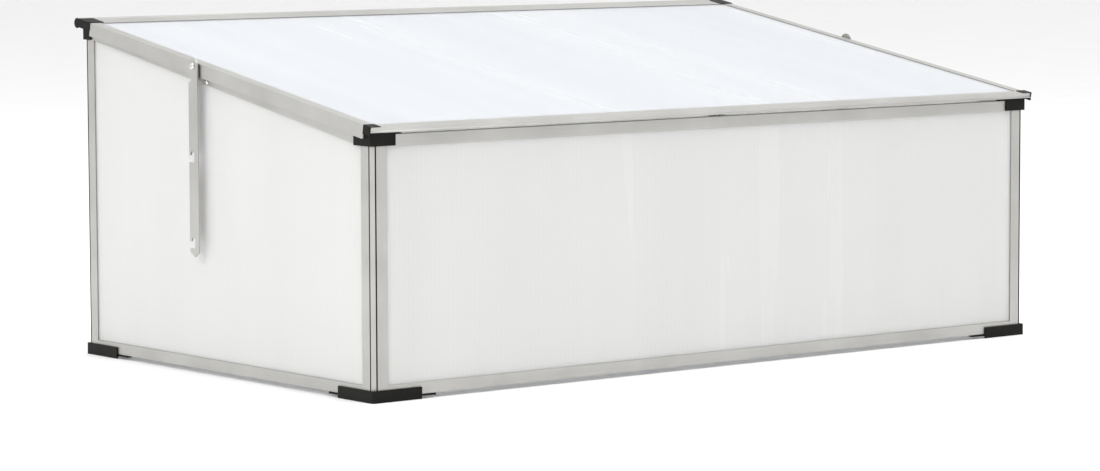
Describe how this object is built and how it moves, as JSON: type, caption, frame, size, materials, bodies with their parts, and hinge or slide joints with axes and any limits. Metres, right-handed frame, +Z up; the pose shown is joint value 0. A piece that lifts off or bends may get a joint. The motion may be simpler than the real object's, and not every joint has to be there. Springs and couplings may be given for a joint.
{
  "type": "cold frame",
  "caption": "Bottomless garden cold frame of aluminium profiles and twin-wall sheets, with a sloping hinged lid and a notched stay arm hanging at each side.",
  "frame": {"origin": "on the ground, in the middle of the footprint", "axes": "+X along the width, +Y from the low front to the high hinged back, +Z up"},
  "size_m": [1.0104, 0.5998, 0.4],
  "materials": {
    "aluminium": "satin mill finish",
    "black_plastic": "moulded, fine grain",
    "twin_wall": "translucent twin-wall sheet, smooth",
    "steel": "bright plated"
  },
  "bodies": {
    "frame": {"bottom_rail_back": "aluminium", "bottom_rail_front": "aluminium", "bottom_rail_left": "aluminium", "bottom_rail_right": "aluminium", "catch_stud_left": "steel", "catch_stud_right": "steel", "foot_back_left": "black_plastic", "foot_back_right": "black_plastic", "foot_front_left": "black_plastic", "foot_front_right": "black_plastic", "guide_screw_left": "steel", "guide_screw_right": "steel", "hinge_rail": "aluminium", "panel_back": "twin_wall", "panel_front": "twin_wall", "panel_left": "twin_wall", "panel_right": "twin_wall", "post_back_left": "aluminium", "post_back_right": "aluminium", "post_front_left": "aluminium", "post_front_right": "aluminium", "rail_nuts_left": "steel", "rail_nuts_right": "steel", "top_cap_back_left": "black_plastic", "top_cap_back_right": "black_plastic", "top_cap_front_left": "black_plastic", "top_cap_front_right": "black_plastic", "top_rail_front": "aluminium", "top_rail_left": "aluminium", "top_rail_right": "aluminium"},
    "lid": {"lid_cap_back_left": "black_plastic", "lid_cap_back_right": "black_plastic", "lid_cap_front_left": "black_plastic", "lid_cap_front_right": "black_plastic", "lid_panel": "twin_wall", "lid_rail_back": "aluminium", "lid_rail_front": "aluminium", "lid_rail_left": "aluminium", "lid_rail_right": "aluminium", "pivot_screw_left": "steel", "pivot_screw_right": "steel", "pivot_washer_left": "steel", "pivot_washer_right": "steel"},
    "stay_arm_left": {"stay_arm_left": "aluminium"},
    "stay_arm_right": {"stay_arm_right": "aluminium"}
  },
  "joints": [
    {"name": "lid_hinge", "type": "hinge", "parent": "frame", "child": "lid", "pos_m": [0, 0.294, 0.394], "axis": [-1, 0, 0], "range_deg": [0, 90]},
    {"name": "stay_arm_pivot_left", "type": "hinge", "parent": "lid", "child": "stay_arm_left", "pos_m": [-0.50165, 0.042, 0.353], "axis": [-1, 0, 0], "range_deg": [-100, 100]},
    {"name": "stay_arm_pivot_right", "type": "hinge", "parent": "lid", "child": "stay_arm_right", "pos_m": [0.50165, 0.042, 0.353], "axis": [-1, 0, 0], "range_deg": [-100, 100]}
  ]
}
